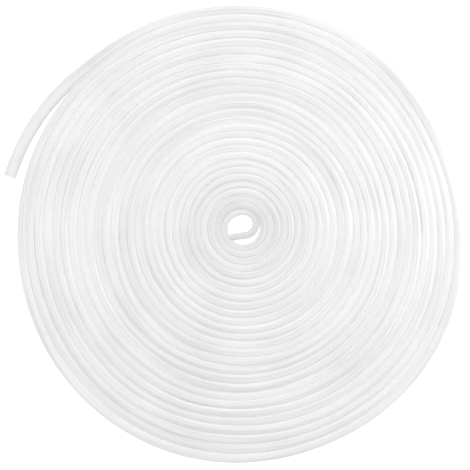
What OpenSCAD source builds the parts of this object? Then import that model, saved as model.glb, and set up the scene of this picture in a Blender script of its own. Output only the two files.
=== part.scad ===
// Coil of soft, hollow guard tube for tying and sleeving young trees and vines.
// One continuous tube is wound into a flat spiral, one turn thick, that lies on z = 0.
// Winding squeezes each turn into a tall oval with the same length of wall around it.
// The free tail at the rim opens back into its round section, and the inner end curls
// back across the eye of the coil. Each node is a stretch of that tube, and the stretches
// meet face to face. Millimetres, +Z up, origin under the middle of the whole outline.

/* [Tube] */
// Outside diameter of the tube where nothing squeezes it
tube_d = 6; // [5.5:0.5:7]
// Thickness of the tube's wall
wall = 0.6; // [0.4:0.1:0.8]
// Radius of a squeezed turn's rounded corners, as a share of its width
corner_share = 0.4; // [0.36:0.02:0.44]

/* [Coil] */
// From the middle of the eye to the middle of the first turn
eye_r = 8.5; // [8.5:0.25:12]
// Distance between neighbouring turns next to the eye
pitch_in = 3.25; // [3.1:0.05:3.5]
// Distance between neighbouring turns at the rim
pitch_out = 4.35; // [4:0.05:4.6]
// How the pitch grows outwards: 1 is evenly, less is sooner
pitch_growth = 0.8; // [0.8:0.1:1.5]
// Air between neighbouring turns
turn_gap = 0.3; // [0.3:0.05:0.4]
// How far each turn sits towards -Y of the turn inside it
turn_slip = 0.15; // [0:0.05:0.15]

/* [Inner end] */
// Straight stretch between the first turn and the curl
curl_lead = 1; // [0.5:0.25:1]
// Radius of the curl, to the middle of the tube
curl_r = 5.75; // [5:0.25:5.75]
// Angle that the curl turns through
curl_angle = 170; // [160:5:170]
// Straight stretch from the curl to the cut inner end
curl_run = 7.5; // [3:0.5:7.5]

/* [Tail] */
// Angle past the last whole turn over which the outer end stays wound on
lap_angle = 36; // [20:1:45]
// Radius that the free tail bends to, to the middle of the tube
tail_r = 142; // [140:1:160]
// Angle over which the tube opens from its squeezed section to round
opening_angle = 18; // [17:1:22]
// Angle of the round stretch after that
tail_angle = 9; // [6:1:20]
// Straight length at the cut outer end
cut_end_l = 12; // [8:1:20]

/* [Hidden] */
$fn = 96;

bands = 9;           // bands of turns, each with one pitch and one section
band_turns = 3;      // whole turns in a band
corner_points = 4;   // points on each rounded corner of a section
rings = 16;          // sections along the opening stretch of the tail
grid = 0.002;        // crossings sit on this grid, so that half turns meet exactly
round_share = 0.49;  // corner share of the opened section, short of a full 0.5
milky = [0.95, 0.95, 0.93];
milky_shade = [0.86, 0.87, 0.86];

// Pitch, first radius and squeezed width of band i, counted from 0 at the eye.
function band_pitch(i) = pitch_in + (pitch_out - pitch_in) * pow(i / (bands - 1), pitch_growth);
function band_r(i) = i == 0 ? eye_r : band_r(i - 1) + band_turns * band_pitch(i - 1);
function band_w(i) = band_pitch(i) - turn_gap;

// Height of a section w wide whose corners take that share of its width: the middle of
// its wall is as long as on the round tube.
function section_h(w, share) =
    let (round_length = PI * (tube_d - wall),
         corner_saving = (8 - 2 * PI) * (share * w - wall / 2))
    (round_length + corner_saving) / 2 - (w - wall) + wall;

// Outline of that section, inset by t, as points [across the tube, height above the
// ground], counter-clockwise.
function outline_points(w, share, t) =
    let (h = section_h(w, share), r = share * w)
    [for (corner = [0 : 3], step = [0 : corner_points - 1])
        let (a = 90 * (corner + step / (corner_points - 1)),
             x = (corner == 0 || corner == 3 ? 1 : -1) * (w / 2 - r),
             z = (corner < 2 ? 1 : -1) * (h / 2 - r))
        [x + (r - t) * cos(a), h / 2 + z + (r - t) * sin(a)]];

// Crossing k of the spiral over the Y axis, two to a turn: even ones are on the +Y side.
function radius_at(u) =
    let (i = min(floor(u / band_turns), bands - 1))
    band_r(i) + (u - i * band_turns) * band_pitch(i);
function crossing_y(k) =
    let (y = (k % 2 == 0 ? 1 : -1) * radius_at(k / 2) - turn_slip * k / 2)
    round(y / grid) * grid;

// The outer lap carries the last whole turn on, and the free tail's arc leaves it smoothly.
last_crossing = 2 * bands * band_turns;
rim_w = band_w(bands - 1);
lap_centre = [0, (crossing_y(last_crossing) + crossing_y(last_crossing + 1)) / 2];
lap_r = (crossing_y(last_crossing) - crossing_y(last_crossing + 1)) / 2;
lap_end = 90 + lap_angle;
tail_centre = lap_centre + (lap_r - tail_r) * [cos(lap_end), sin(lap_end)];
tail_end = lap_end + opening_angle + tail_angle;
tail_foot = tail_centre + tail_r * [cos(tail_end), sin(tail_end)];
tail_tip = tail_foot + cut_end_l * [-sin(tail_end), cos(tail_end)];

// Sides of the outline, seen from the winding's own middle.
right_x = (crossing_y(last_crossing) - crossing_y(last_crossing - 1)) / 2 + rim_w / 2;
left_x = tail_tip[0] + tube_d / 2 * cos(tail_end);
back_y = crossing_y(last_crossing) + rim_w / 2;
front_y = crossing_y(last_crossing - 1) - rim_w / 2;
outline_middle = [(left_x + right_x) / 2, (front_y + back_y) / 2];

// Moves a shape from the winding's own middle to the part's origin.
module placed() {
    translate([-outline_middle[0], -outline_middle[1], 0]) children();
}

// Hollow section of a squeezed turn of width w.
module squeezed_section(w) {
    difference() {
        polygon(outline_points(w, corner_share, 0));
        polygon(outline_points(w, corner_share, wall));
    }
}

// Hollow section of the relaxed tube, resting on y = 0.
module round_section() {
    translate([0, tube_d / 2]) difference() {
        circle(d = tube_d);
        circle(d = tube_d - 2 * wall);
    }
}

// Its section swept along a straight line of length l, from point p towards angle a.
module straight(p, a, l) {
    translate([p[0], p[1], 0]) rotate([0, 0, a]) rotate([90, 0, 90])
        linear_extrude(l) children();
}

// Its section swept round an arc of radius r about point c, counter-clockwise from a.
module arc(c, r, a, sweep) {
    translate([c[0], c[1], 0]) rotate_extrude(start = a, angle = sweep)
        translate([r, 0]) children();
}

// Half turn of the winding from crossing k to the next one, squeezed to width w.
module half_turn(k, w) {
    y0 = crossing_y(k);
    y1 = crossing_y(k + 1);
    arc([0, (y0 + y1) / 2], abs(y0 - y1) / 2, k % 2 == 0 ? 90 : 270, 180)
        squeezed_section(w);
}

// Band i of the winding.
module turn_band(i) {
    first = 2 * band_turns * i;
    color(i % 2 == 0 ? milky : milky_shade) placed()
        for (k = [first : first + 2 * band_turns - 1])
            half_turn(k, band_w(i));
}

// Middle of the curl, and the angle at which the curl stops.
function curl_middle() = [curl_lead, eye_r - curl_r];
function curl_stop() = 90 - curl_angle;

// The first turn runs back into a short lead and a tight curl inside the eye.
module inner_curl() {
    color(milky_shade) placed() {
        straight([0, eye_r], 0, curl_lead) squeezed_section(band_w(0));
        arc(curl_middle(), curl_r, curl_stop(), curl_angle) squeezed_section(band_w(0));
    }
}

// Straight run from the curl across the eye to the open inner end, cut square.
module inner_cut_end() {
    run_from = curl_middle() + curl_r * [cos(curl_stop()), sin(curl_stop())];
    color(milky) placed()
        straight(run_from, curl_stop() - 90, curl_run) squeezed_section(band_w(0));
}

// Outer end of the winding, up to where the tail leaves it.
module outer_lap() {
    color(milky_shade) placed() arc(lap_centre, lap_r, 90, lap_angle) squeezed_section(rim_w);
}

// Stretch of tail that opens from the squeezed section to the round one.
module tail_opening() {
    sides = 4 * corner_points;
    skin = rings * sides;
    function ring_points(j, t) =
        let (s = j / (rings - 1),
             eased = s * s * (3 - 2 * s),
             a = lap_end + opening_angle * s,
             w = rim_w + (tube_d - rim_w) * eased,
             share = corner_share + (round_share - corner_share) * eased)
        [for (p = outline_points(w, share, t))
            [tail_centre[0] + (tail_r + p[0]) * cos(a),
             tail_centre[1] + (tail_r + p[0]) * sin(a), p[1]]];
    points = [
        for (j = [0 : rings - 1]) each ring_points(j, 0),
        for (j = [0 : rings - 1]) each ring_points(j, wall)
    ];
    faces = [
        for (j = [0 : rings - 2], i = [0 : sides - 1])
            let (a = j * sides + i, b = j * sides + (i + 1) % sides)
            each [[a, b, b + sides], [a, b + sides, a + sides],
                  [skin + b, skin + a, skin + a + sides],
                  [skin + b, skin + a + sides, skin + b + sides]],
        for (i = [0 : sides - 1])
            let (a = i, b = (i + 1) % sides, far = (rings - 1) * sides)
            each [[b, a, skin + a], [b, skin + a, skin + b],
                  [far + a, far + b, skin + far + b], [far + a, skin + far + b, skin + far + a]]
    ];
    color(milky) placed() polyhedron(points, faces);
}

// Round stretch of the free tail.
module tail() {
    color(milky_shade) placed()
        arc(tail_centre, tail_r, lap_end + opening_angle, tail_angle) round_section();
}

// Straight end of the tail, cut square, with the bore open.
module tail_cut_end() {
    color(milky) placed()
        translate([tail_foot[0], tail_foot[1], tube_d / 2]) rotate([0, 0, 90 + tail_end])
        rotate([0, 90, 0]) difference() {
            cylinder(d = tube_d, h = cut_end_l);
            translate([0, 0, -wall]) cylinder(d = tube_d - 2 * wall, h = cut_end_l + 2 * wall);
        }
}

inner_cut_end();
inner_curl();
turn_band(0);  // turns_1_to_3
turn_band(1);  // turns_4_to_6
turn_band(2);  // turns_7_to_9
turn_band(3);  // turns_10_to_12
turn_band(4);  // turns_13_to_15
turn_band(5);  // turns_16_to_18
turn_band(6);  // turns_19_to_21
turn_band(7);  // turns_22_to_24
turn_band(8);  // turns_25_to_27
outer_lap();
tail_opening();
tail();
tail_cut_end();
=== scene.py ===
"""Looks of a coil of soft, hollow, milky guard tube that lies flat on a pale floor.

The winding, the curl at its eye and the free tail are one mesh tube. Its route repeats the
driving dimensions of the CAD model, in metres, and adds what a hand-wound coil has: uneven
turns, an outline that isn't quite round, and gaps that open and close.
"""
import math

import bpy
import numpy as np
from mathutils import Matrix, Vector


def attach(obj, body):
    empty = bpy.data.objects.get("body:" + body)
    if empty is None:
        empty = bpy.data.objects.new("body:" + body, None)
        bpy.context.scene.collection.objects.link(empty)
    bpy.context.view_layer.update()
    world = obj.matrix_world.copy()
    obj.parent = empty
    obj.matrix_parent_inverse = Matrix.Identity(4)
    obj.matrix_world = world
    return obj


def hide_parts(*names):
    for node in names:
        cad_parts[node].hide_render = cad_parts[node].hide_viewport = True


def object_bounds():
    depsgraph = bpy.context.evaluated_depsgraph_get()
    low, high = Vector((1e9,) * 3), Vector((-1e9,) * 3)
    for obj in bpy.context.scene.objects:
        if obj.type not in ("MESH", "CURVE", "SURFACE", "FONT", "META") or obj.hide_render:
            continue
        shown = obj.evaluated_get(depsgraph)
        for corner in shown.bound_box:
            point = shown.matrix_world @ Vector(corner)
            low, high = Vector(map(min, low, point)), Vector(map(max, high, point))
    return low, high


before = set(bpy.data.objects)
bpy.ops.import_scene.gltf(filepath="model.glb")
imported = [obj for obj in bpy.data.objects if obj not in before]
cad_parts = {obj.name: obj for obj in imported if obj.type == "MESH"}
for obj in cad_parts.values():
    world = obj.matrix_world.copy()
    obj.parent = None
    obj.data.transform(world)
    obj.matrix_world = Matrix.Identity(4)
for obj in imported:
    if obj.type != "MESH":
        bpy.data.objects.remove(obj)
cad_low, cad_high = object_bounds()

# The tube, as in the CAD model.
TUBE_D = 0.006
WALL = 0.0006

# The winding, as in the CAD model. Turn 0 starts on the +Y side of the eye.
EYE_R = 0.0085
PITCH_IN = 0.00325
PITCH_OUT = 0.00435
PITCH_GROWTH = 0.8
TURNS = 27

# The inner end, as in the CAD model but for a run that reaches the first turn.
CURL_LEAD = 0.001
CURL_R = 0.00575
CURL_ANGLE = math.radians(170)
CURL_RUN = 0.0080

# The outer end. It opens while it still laps round the rim, and leaves it at a slant.
LAP_TURNS = 38.5 / 360
OPENING_TURNS = 10.5 / 360
TAIL_R = 0.105
TAIL_ANGLE = math.radians(30)
CUT_END_L = 0.004
FREE_W = 0.0063
FREE_SHARE = 0.42
TUBE_LENGTH = 10.0

# What the hand winding adds. OVAL and the sizes in BULGES are shares of a turn's radius.
OVAL = 0.0098
OVAL_TURN = math.radians(11)
OVAL_TURNS = 8
# Bulges round the rim: how many, their size and the angle of one of them.
BULGES = ((3, 0.0031, math.radians(86)), (4, 0.0053, math.radians(61)))
DRIFT = (-0.0026, -0.0043)
DRIFT_GROWTH = 1.8
RAGGED = 0.00022
RAGGED_TURNS = 16
KINK = 0.00004
EYE_PINCH = 0.00045
EYE_ROOMY = math.radians(225)
EYE_LOPSIDED = 0.8
PINCHED_TURNS = 5
GAP = 0.00001
# Where the winding is loose: turn, turns to each side, and how far the turns part.
LOOSE = ((21.455, 0.020, 0.00042), (22.76, 0.06, 0.00026), (25.26, 0.03, 0.00034))
LEAN = math.radians(2.5)
LIFT = 0.0002
CURL_W = 0.0036
EYE_SHARE = 0.10
RIM_SHARE = 0.13
SHARE_SWING = 0.04
SHARPEST = 0.04
CROWN = 0.0006
EYE_CROWN = 0.5
FLATTER_TURNS = 7

# The mesh.
RING_SPACING = 0.0040
FEWEST_RINGS = 40
RINGS_A_RADIAN = 6
LEAST_CORNER_R = 0.00005
SHARP_EDGE = math.radians(60)
OUTER_ANGLES = [90 * corner + a for corner in range(4) for a in (9, 27, 45, 63, 81, 90)]
BORE_ANGLES = [90 * corner + a for corner in range(4) for a in (15, 45, 75)]

# The view: what the picture spans, and the camera's lens.
VIEW_WIDTH = 0.235
VIEW_MIDDLE = (0.0005, -0.0004)
LENS_MM = 135
SENSOR_MM = 36
FLOOR_REACH = 3.0
FLOOR_CLEARANCE = 0.0002


def eased(s):
    """0 to 1 with a smooth start and stop."""
    s = np.clip(s, 0.0, 1.0)
    return s * s * (3 - 2 * s)


def wander(rates, size, seed):
    """A smooth, irregular curve: a sine wave for each rate, with a seeded phase."""
    phases = np.random.default_rng(seed).random(len(rates))

    def at(x):
        waves = [np.sin(math.tau * (rate * x + phase)) for rate, phase in zip(rates, phases)]
        return size * sum(waves) / math.sqrt(len(rates) / 2)

    return at


# Rates are waves a turn. Near a whole number the waves of neighbouring turns nearly agree,
# so each turn follows the one inside it and strays only a little.
ragged = wander((0.11, 0.93, 1.07, 1.91, 2.12, 2.9, 3.13, 4.88, 5.1, 7.12), RAGGED, 11)
share_wave = wander((0.31, 0.77, 1.36, 1.83, 2.61, 3.42, 4.7), SHARE_SWING, 23)
lean_wave = wander((0.06, 0.95, 1.04, 2.05, 2.96), LEAN, 37)
lift_wave = wander((0.27, 0.66, 1.41, 2.3, 3.7), LIFT, 41)
# Rates are waves a metre of tube.
kink_wave = wander((31, 47, 59, 74, 96), KINK, 53)


def section_height(width, share):
    """Height of a squeezed section, whose wall is as long as the round tube's."""
    round_length = math.pi * (TUBE_D - WALL)
    saving = (8 - 2 * math.pi) * (share * width - WALL / 2)
    return (round_length + saving) / 2 - (width - WALL) + WALL


def middle_radius(u):
    """Distance from the eye to the middle of an even winding at turn u."""
    outer = np.maximum(u, 0.0) / TURNS
    growth = (PITCH_OUT - PITCH_IN) * TURNS / (PITCH_GROWTH + 1)
    return EYE_R + PITCH_IN * u + growth * outer ** (PITCH_GROWTH + 1)


def inner_edge(u):
    """Distance from the eye to the inner side of turn u, on the hand-wound coil."""
    angle = math.pi / 2 + math.tau * u
    share = np.maximum(u, 0.0) / TURNS
    drift = share ** DRIFT_GROWTH
    oval = OVAL * eased(u / OVAL_TURNS) * np.cos(2 * (angle - OVAL_TURN))
    bulge = sum(size * np.cos(n * (angle - turned)) for n, size, turned in BULGES)
    edge = middle_radius(u - 0.5) * (1 - oval + drift * bulge)
    edge += drift * (DRIFT[0] * np.cos(angle) + DRIFT[1] * np.sin(angle))
    lopsided = 1 - EYE_LOPSIDED * np.cos(angle - EYE_ROOMY)
    edge -= EYE_PINCH * (1 - eased(u / PINCHED_TURNS)) * lopsided
    return edge + eased(u / RAGGED_TURNS) * ragged(u)


def parted(u):
    """How far turn u stands off the turn inside it."""
    return sum(gap * np.exp(-((u - turn) / spread) ** 2) for turn, spread, gap in LOOSE)


def opened(u):
    """How far the tube has opened from its squeezed section, from 0 to 1, at turn u."""
    return np.clip((u - TURNS - LAP_TURNS) / OPENING_TURNS, 0, 1) ** 2


def winding():
    """Turns, route and widths of the wound tube, with the lap round the rim at its end."""
    last = TURNS + LAP_TURNS + OPENING_TURNS
    turns = [0.0]
    while turns[-1] < last:
        step = RING_SPACING / (math.tau * float(middle_radius(turns[-1])))
        turns.append(turns[-1] + min(step, 1 / FEWEST_RINGS))
    u = np.array(turns)
    u *= last / u[-1]
    low = inner_edge(u) + GAP / 2 + parted(u)
    squeezed = inner_edge(u + 1) - GAP / 2 - low
    width = squeezed + (FREE_W - squeezed) * opened(u)
    angle = math.pi / 2 + math.tau * u
    radius = low + width / 2
    points = np.stack([radius * np.cos(angle), radius * np.sin(angle)], axis=1)
    return u, points, width


def run_on(point, heading, legs):
    """Points from a point along legs of (length, angle turned through), left positive."""
    points = []
    for length, turn in legs:
        steps = max(2, math.ceil(length / RING_SPACING),
                    math.ceil(abs(turn) * RINGS_A_RADIAN))
        for _ in range(steps):
            middle = heading + turn / steps / 2
            chord = length / steps
            if turn:
                chord *= math.sin(turn / steps / 2) / (turn / steps / 2)
            point = point + chord * np.array([math.cos(middle), math.sin(middle)])
            heading += turn / steps
            points.append(point)
    return np.array(points)


def heading_of(step):
    """The direction of a step, as an angle from +X."""
    return math.atan2(step[1], step[0])


def whole_route():
    """Points, widths, corner shares, crowns, leans and lifts from the inner end outwards."""
    u, wound, wound_w = winding()
    back = run_on(wound[0], heading_of(wound[0] - wound[1]),
                  [(CURL_LEAD, 0), (CURL_R * CURL_ANGLE, -CURL_ANGLE), (CURL_RUN, 0)])[::-1]
    tail = run_on(wound[-1], heading_of(wound[-1] - wound[-2]),
                  [(TAIL_R * TAIL_ANGLE, TAIL_ANGLE), (CUT_END_L, 0)])
    points = np.concatenate([back, wound, tail])

    back_s = np.linspace(1, 0, len(back), endpoint=False)
    back_w = wound_w[0] + (CURL_W - wound_w[0]) * eased(back_s * 2)
    widths = np.concatenate([back_w, wound_w, np.full(len(tail), FREE_W)])

    held = np.concatenate([1 - back_s, 1 - opened(u), np.zeros(len(tail))])
    turn = np.concatenate([-0.1 * back_s, u, np.full(len(tail), u[-1])])
    squeezed = EYE_SHARE + (RIM_SHARE - EYE_SHARE) * eased(turn / TURNS) + share_wave(turn)
    shares = FREE_SHARE + held * (np.maximum(squeezed, SHARPEST) - FREE_SHARE)
    leans = held * lean_wave(turn)
    lifts = held * np.maximum(lift_wave(turn), 0)
    crowns = CROWN * held * (EYE_CROWN + (1 - EYE_CROWN) * eased(turn / FLATTER_TURNS))
    return points, widths, shares, crowns, leans, lifts


def skin(route, out, half_w, half_h, corner_r, crowns, leans, lifts, angles, inset):
    """Rings of points round the route, inset from the tube's outside.

    Each angle, in degrees, is a point of the rounded corner in its quarter of the outline,
    and a multiple of 90 is the middle of the flat between two corners.
    """
    turned = np.radians(angles)
    flat_middle = np.array([angle % 90 == 0 for angle in angles])
    right = np.where(flat_middle, np.round(np.cos(turned)), np.sign(np.cos(turned)))
    top = np.where(flat_middle, np.round(np.sin(turned)), np.sign(np.sin(turned)))
    w, h, r = (half_w - inset)[:, None], (half_h - inset)[:, None], corner_r[:, None]
    r = np.maximum(r - inset, LEAST_CORNER_R)
    x = right * (w - r) + r * np.cos(turned)
    z = top * (h - r) + r * np.sin(turned)
    z += np.sign(top) * crowns[:, None] * (1 - (x / w) ** 2)
    lean = leans[:, None]
    side = x * np.cos(lean) + z * np.sin(lean)
    rise = z * np.cos(lean) - x * np.sin(lean)
    points = np.empty((len(route), len(angles), 3))
    points[:, :, :2] = route[:, None, :] + side[:, :, None] * out[:, None, :]
    points[:, :, 2] = (half_h + crowns + lifts)[:, None] + rise
    return points.reshape(-1, 3)


def tube_faces(rings, outer, bore):
    """Quads of the outer skin and the bore, and the annular faces at both cut ends."""
    first_bore = rings * outer
    faces = []
    for r in range(rings - 1):
        for i in range(outer):
            j = (i + 1) % outer
            a, b = r * outer, (r + 1) * outer
            faces.append((a + i, a + j, b + j, b + i))
        for i in range(bore):
            j = (i + 1) % bore
            a, b = first_bore + r * bore, first_bore + (r + 1) * bore
            faces.append((a + j, a + i, b + i, b + j))
    share = outer // bore
    for r, flip in ((0, False), (rings - 1, True)):
        a, b = r * outer, first_bore + r * bore
        for i in range(bore):
            rim = [a + (i * share + k) % outer for k in range(share + 1)]
            face = rim + [b + (i + 1) % bore, b + i]
            faces.append(tuple(face if flip else face[::-1]))
    return faces


def tube_piece():
    """The mesh tube, hollow and open at both ends, and the points of its middle line."""
    flat, widths, shares, crowns, leans, lifts = whole_route()
    ahead = np.gradient(flat, axis=0)
    ahead /= np.linalg.norm(ahead, axis=1)[:, None]
    out = np.stack([ahead[:, 1], -ahead[:, 0]], axis=1)
    along = np.concatenate([[0], np.linalg.norm(np.diff(flat, axis=0), axis=1).cumsum()])
    half_w = widths / 2 + kink_wave(along)
    half_h = section_height(widths, shares) / 2 - kink_wave(along)

    # The outline's middle goes over the middle of the CAD model's box.
    middle = (flat.min(axis=0) + flat.max(axis=0)) / 2
    flat = flat + (np.array((cad_low + cad_high) / 2)[:2] - middle)

    rings = len(flat)
    forms = (flat, out, half_w, half_h, shares * widths, crowns, leans, lifts)
    points = np.concatenate([skin(*forms, OUTER_ANGLES, 0.0), skin(*forms, BORE_ANGLES, WALL)])
    points[:, 2] -= points[:, 2].min()
    mesh = bpy.data.meshes.new("guard_tube")
    mesh.from_pydata(points.tolist(), [], tube_faces(rings, len(OUTER_ANGLES),
                                                       len(BORE_ANGLES)))
    mesh.shade_smooth()
    mesh.set_sharp_from_angle(angle=SHARP_EDGE)

    # U is the length along the tube and V is the length round it, both in metres.
    round_m = math.pi * TUBE_D
    place = np.concatenate([
        np.stack([np.repeat(along, n), np.tile(np.arange(n) / n * round_m, rings)], axis=1)
        for n in (len(OUTER_ANGLES), len(BORE_ANGLES))])
    corner = np.empty(len(mesh.loops), dtype=np.int32)
    mesh.loops.foreach_get("vertex_index", corner)
    uv = mesh.uv_layers.new(name="tube")
    uv.data.foreach_set("uv", place[corner].ravel())

    piece = bpy.data.objects.new("guard_tube", mesh)
    bpy.context.collection.objects.link(piece)
    path = np.column_stack([flat, half_h + crowns + lifts])
    return piece, path


def camera():
    """Straight above the coil, far enough for VIEW_WIDTH to fill the picture."""
    data = bpy.data.cameras.new("camera")
    data.lens = LENS_MM
    data.sensor_width = SENSOR_MM
    eye = bpy.data.objects.new("camera", data)
    eye.location = (*VIEW_MIDDLE, cad_high[2] + VIEW_WIDTH * LENS_MM / SENSOR_MM)
    bpy.context.collection.objects.link(eye)
    bpy.context.scene.camera = eye


class Nodes:
    """Short hand for building one material's node tree."""

    def __init__(self, name):
        self.material = bpy.data.materials.new(name)
        self.material.use_nodes = True
        self.tree = self.material.node_tree
        self.shader = self.tree.nodes["Principled BSDF"]

    def add(self, kind, settings=None, **inputs):
        node = self.tree.nodes.new(kind)
        for name, value in (settings or {}).items():
            setattr(node, name, value)
        for name, value in inputs.items():
            self.feed(node.inputs[name.replace("_", " ")], value)
        return node

    def feed(self, socket, value):
        if isinstance(value, bpy.types.NodeSocket):
            self.tree.links.new(value, socket)
        else:
            socket.default_value = value

    def noise(self, vector, scale, detail=3.0, roughness=0.5):
        node = self.add("ShaderNodeTexNoise", Vector=vector, Scale=scale, Detail=detail,
                        Roughness=roughness)
        return node.outputs["Fac"]

    def stretched(self, vector, scale):
        """The vector times the scale, so a pattern on it runs long where the scale is small."""
        node = self.add("ShaderNodeMapping", Vector=vector, Scale=scale)
        return node.outputs["Vector"]

    def mixed(self, value, low_colour, high_colour, low, high):
        """One colour at a low value and another at a high one."""
        node = self.add("ShaderNodeMix", {"data_type": "RGBA"})
        colours = [socket for socket in node.inputs if socket.type == "RGBA"]
        self.feed(node.inputs["Factor"], self.spread(value, low, high, 0.0, 1.0))
        self.feed(colours[0], low_colour)
        self.feed(colours[1], high_colour)
        return [socket for socket in node.outputs if socket.type == "RGBA"][0]

    def multiplied(self, colour, other):
        node = self.add("ShaderNodeVectorMath", {"operation": "MULTIPLY"})
        self.feed(node.inputs[0], colour)
        self.feed(node.inputs[1], other)
        return node.outputs["Vector"]

    def spread(self, value, low, high, to_low, to_high):
        """The value, with the range low to high moved to to_low to to_high."""
        node = self.add("ShaderNodeMapRange", Value=value, From_Min=low, From_Max=high,
                        To_Min=to_low, To_Max=to_high)
        return node.outputs["Result"]


def milky_plastic():
    """Soft PVC: milky, translucent, with die lines, winding wrinkles and faint patches; the
    die-line stripes are partly painted highlight and reflection, the inner end carries painted
    shade and the whole tube a trace of painted glow.
    """
    n = Nodes("milky_plastic")
    uv = n.add("ShaderNodeUVMap", {"uv_map": "tube"}).outputs["UV"]
    place = n.add("ShaderNodeTexCoord").outputs["Object"]

    # The scales are cells a metre: along the tube and round it, or the same all ways.
    die_lines = n.noise(n.stretched(uv, (18, 1600, 1)), 1.0, 2.0)
    wrinkles = n.noise(n.stretched(uv, (900, 140, 1)), 1.0, 3.0, 0.6)
    speckle = n.noise(place, 1500.0, 2.0)
    stretches = n.noise(n.stretched(uv, (5, 50, 1)), 1.0, 2.0)
    patches = n.noise(place, 30.0, 2.0)
    length_in = n.add("ShaderNodeSeparateXYZ", Vector=uv).outputs["X"]

    milk = n.mixed(stretches, (0.91, 0.91, 0.91, 1), (0.97, 0.97, 0.97, 1), 0.3, 0.7)
    aged = n.mixed(patches, (0.96, 0.96, 0.957, 1), (1, 1, 1, 1), 0.35, 0.6)
    # Stripes along the tube from the die lines: partly the plastic's own tone, partly painted
    # highlights and painted reflection of the bore seen through the milky wall.
    die_lines_and_painted_reflections = n.mixed(die_lines, (0.89, 0.89, 0.89, 1), (1, 1, 1, 1), 0.35, 0.65)
    # Painted shade: the inner end, the first few centimetres that cross the eye, is darkened.
    inner_end_painted_shade = n.mixed(length_in, (0.93, 0.93, 0.93, 1), (1, 1, 1, 1), 0.008, 0.03)
    inner = n.mixed(length_in, (0.94, 0.94, 0.94, 1), (1, 1, 1, 1), 0.1, 1.2)
    colour = n.multiplied(n.multiplied(milk, aged), n.multiplied(die_lines_and_painted_reflections, inner_end_painted_shade))
    free = n.mixed(length_in, (1, 1, 1, 1), (0.96, 0.96, 0.96, 1),
                   TUBE_LENGTH - 0.05, TUBE_LENGTH - 0.02)
    colour = n.multiplied(colour, n.multiplied(inner, free))
    n.feed(n.shader.inputs["Base Color"], colour)
    n.feed(n.shader.inputs["Roughness"], n.spread(die_lines, 0.3, 0.7, 0.26, 0.42))

    bumps = [(die_lines, 0.00002), (wrinkles, 0.00006), (speckle, 0.000015)]
    normal = None
    for height, depth in bumps:
        bump = n.add("ShaderNodeBump", Height=height, Distance=depth)
        if normal:
            n.feed(bump.inputs["Normal"], normal)
        normal = bump.outputs["Normal"]
    n.feed(n.shader.inputs["Normal"], normal)

    n.shader.inputs["IOR"].default_value = 1.53
    n.shader.inputs["Subsurface Weight"].default_value = 1.0
    n.shader.inputs["Subsurface Radius"].default_value = (1.0, 1.0, 1.0)
    n.shader.inputs["Subsurface Scale"].default_value = 0.0006
    # A trace of glow stands for the light that translucent turns hand on to each other.
    n.shader.inputs["Emission Color"].default_value = (1, 1, 1, 1)
    n.shader.inputs["Emission Strength"].default_value = 0.07
    return n.material


def pale_floor():
    """White where it is seen directly, and a plain pale diffuser for the light it passes on."""
    n = Nodes("pale_floor")
    n.shader.inputs["Base Color"].default_value = (0.8, 0.8, 0.8, 1)
    n.shader.inputs["Roughness"].default_value = 0.9
    n.shader.inputs["Emission Color"].default_value = (1, 1, 1, 1)
    seen = n.add("ShaderNodeLightPath").outputs["Is Camera Ray"]
    n.feed(n.shader.inputs["Emission Strength"], seen)
    return n.material


def floor():
    """A pale floor just below the coil, which isn't part of the object."""
    mesh = bpy.data.meshes.new("floor")
    far = FLOOR_REACH
    corners = [(-far, -far, 0), (far, -far, 0), (far, far, 0), (-far, far, 0)]
    mesh.from_pydata(corners, [], [(0, 1, 2, 3)])
    mesh.materials.append(pale_floor())
    ground = bpy.data.objects.new("floor", mesh)
    ground.location.z = cad_low[2] - FLOOR_CLEARANCE
    bpy.context.collection.objects.link(ground)


def soft_light(name, place, size, power):
    """A rectangular lamp that faces the origin. Metres and watts."""
    data = bpy.data.lights.new(name, "AREA")
    data.shape = "RECTANGLE"
    data.size, data.size_y = size
    data.energy = power
    lamp = bpy.data.objects.new(name, data)
    lamp.location = place
    toward = -lamp.location
    lamp.rotation_euler = toward.to_track_quat("-Z", "Y").to_euler()
    lamp.visible_camera = False
    bpy.context.collection.objects.link(lamp)


def studio():
    """Soft light from all sides, with three lamps that give the turns their sides."""
    world = bpy.data.worlds.new("studio")
    world.use_nodes = True
    sky = world.node_tree.nodes["Background"]
    sky.inputs["Color"].default_value = (1, 1, 1, 1)
    sky.inputs["Strength"].default_value = 0.69
    bpy.context.scene.world = world
    bpy.context.scene.view_settings.view_transform = "Standard"
    # Light is handed on many times from wall to wall in the narrow grooves.
    bpy.context.scene.cycles.max_bounces = 24
    bpy.context.scene.cycles.diffuse_bounces = 16
    soft_light("right_light", (0.26, 0.05, 0.11), (0.06, 0.25), 0.155)
    soft_light("left_light", (-0.14, 0.02, 0.26), (0.06, 0.30), 0.077)
    soft_light("back_light", (0.05, 0.60, 0.50), (0.6, 0.25), 0.95)


camera()
tube, route = tube_piece()
tube.data.materials.append(milky_plastic())
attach(tube, "root")
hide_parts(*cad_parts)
floor()
studio()
